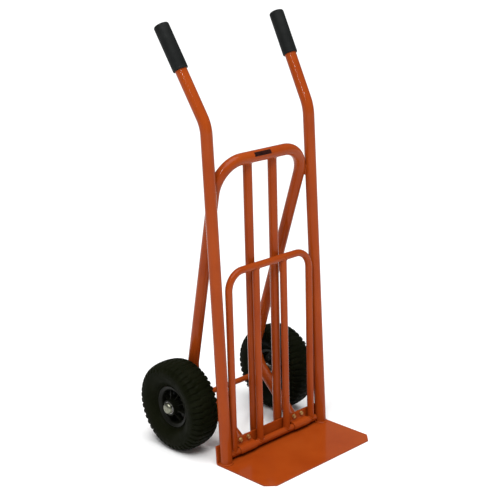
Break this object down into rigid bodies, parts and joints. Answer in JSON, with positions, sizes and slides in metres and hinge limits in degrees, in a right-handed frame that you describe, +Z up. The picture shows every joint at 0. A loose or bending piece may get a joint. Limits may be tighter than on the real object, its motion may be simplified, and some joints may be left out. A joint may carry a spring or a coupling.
{
  "type": "hand truck",
  "caption": "Upright two-wheeled hand truck of bent steel tube with a toe plate, a fold-down toe extension, angled handles and air-filled tyres.",
  "frame": {"origin": "on the underside of the toe plate, midway between the feet of the two uprights", "axes": "+X across the truck to its right, seen from the toe plate; -Y forward along the toe plate; +Y back to the wheels; +Z up"},
  "size_m": [0.4814, 0.4955, 1.1776],
  "materials": {
    "orange_powder_coat": "gloss powder coat",
    "tyre_rubber": "matte, block tread",
    "black_rubber": "matte, finely textured",
    "black_plastic": "satin moulded",
    "zinc": "zinc plated",
    "bearing_steel": "ground steel",
    "label_brown": "blank dark label"
  },
  "bodies": {
    "frame": {"toe_plate": "orange_powder_coat", "left_upright": "orange_powder_coat", "right_upright": "orange_powder_coat", "left_grip": "black_rubber", "right_grip": "black_rubber", "hoop_frame": "orange_powder_coat", "left_inner_bar": "orange_powder_coat", "right_inner_bar": "orange_powder_coat", "axle": "orange_powder_coat", "label_plate": "label_brown", "left_hinge_strap": "orange_powder_coat", "right_hinge_strap": "orange_powder_coat", "left_hinge_bolt_1": "zinc", "left_hinge_nut_1": "zinc", "left_hinge_bolt_2": "zinc", "left_hinge_nut_2": "zinc", "right_hinge_bolt_1": "zinc", "right_hinge_nut_1": "zinc", "right_hinge_bolt_2": "zinc", "right_hinge_nut_2": "zinc", "left_washer_inner": "zinc", "left_washer_outer": "zinc", "left_hub_cap": "zinc", "right_washer_inner": "zinc", "right_washer_outer": "zinc", "right_hub_cap": "zinc"},
    "extension": {"extension_hoop": "orange_powder_coat", "extension_left_bar": "orange_powder_coat", "extension_right_bar": "orange_powder_coat", "extension_pivot_tube": "orange_powder_coat"},
    "left_wheel": {"left_tyre": "tyre_rubber", "left_inner_tube": "black_rubber", "left_valve_stem": "black_rubber", "left_rim_outer": "black_plastic", "left_rim_inner": "black_plastic", "left_bearing_outer": "bearing_steel", "left_bearing_inner": "bearing_steel", "left_rim_bolt_1": "zinc", "left_rim_bolt_2": "zinc", "left_rim_bolt_3": "zinc", "left_rim_bolt_4": "zinc"},
    "right_wheel": {"right_tyre": "tyre_rubber", "right_inner_tube": "black_rubber", "right_valve_stem": "black_rubber", "right_rim_outer": "black_plastic", "right_rim_inner": "black_plastic", "right_bearing_outer": "bearing_steel", "right_bearing_inner": "bearing_steel", "right_rim_bolt_1": "zinc", "right_rim_bolt_2": "zinc", "right_rim_bolt_3": "zinc", "right_rim_bolt_4": "zinc"}
  },
  "joints": [
    {"name": "extension_fold", "type": "hinge", "parent": "frame", "child": "extension", "pos_m": [0, 0.00655, 0.0209], "axis": [1, 0, 0], "range_deg": [0, 90.5]},
    {"name": "left_wheel_spin", "type": "hinge", "parent": "frame", "child": "left_wheel", "pos_m": [-0.191, 0.182, 0.1275], "axis": [1, 0, 0], "continuous": true},
    {"name": "right_wheel_spin", "type": "hinge", "parent": "frame", "child": "right_wheel", "pos_m": [0.191, 0.182, 0.1275], "axis": [1, 0, 0], "continuous": true}
  ]
}
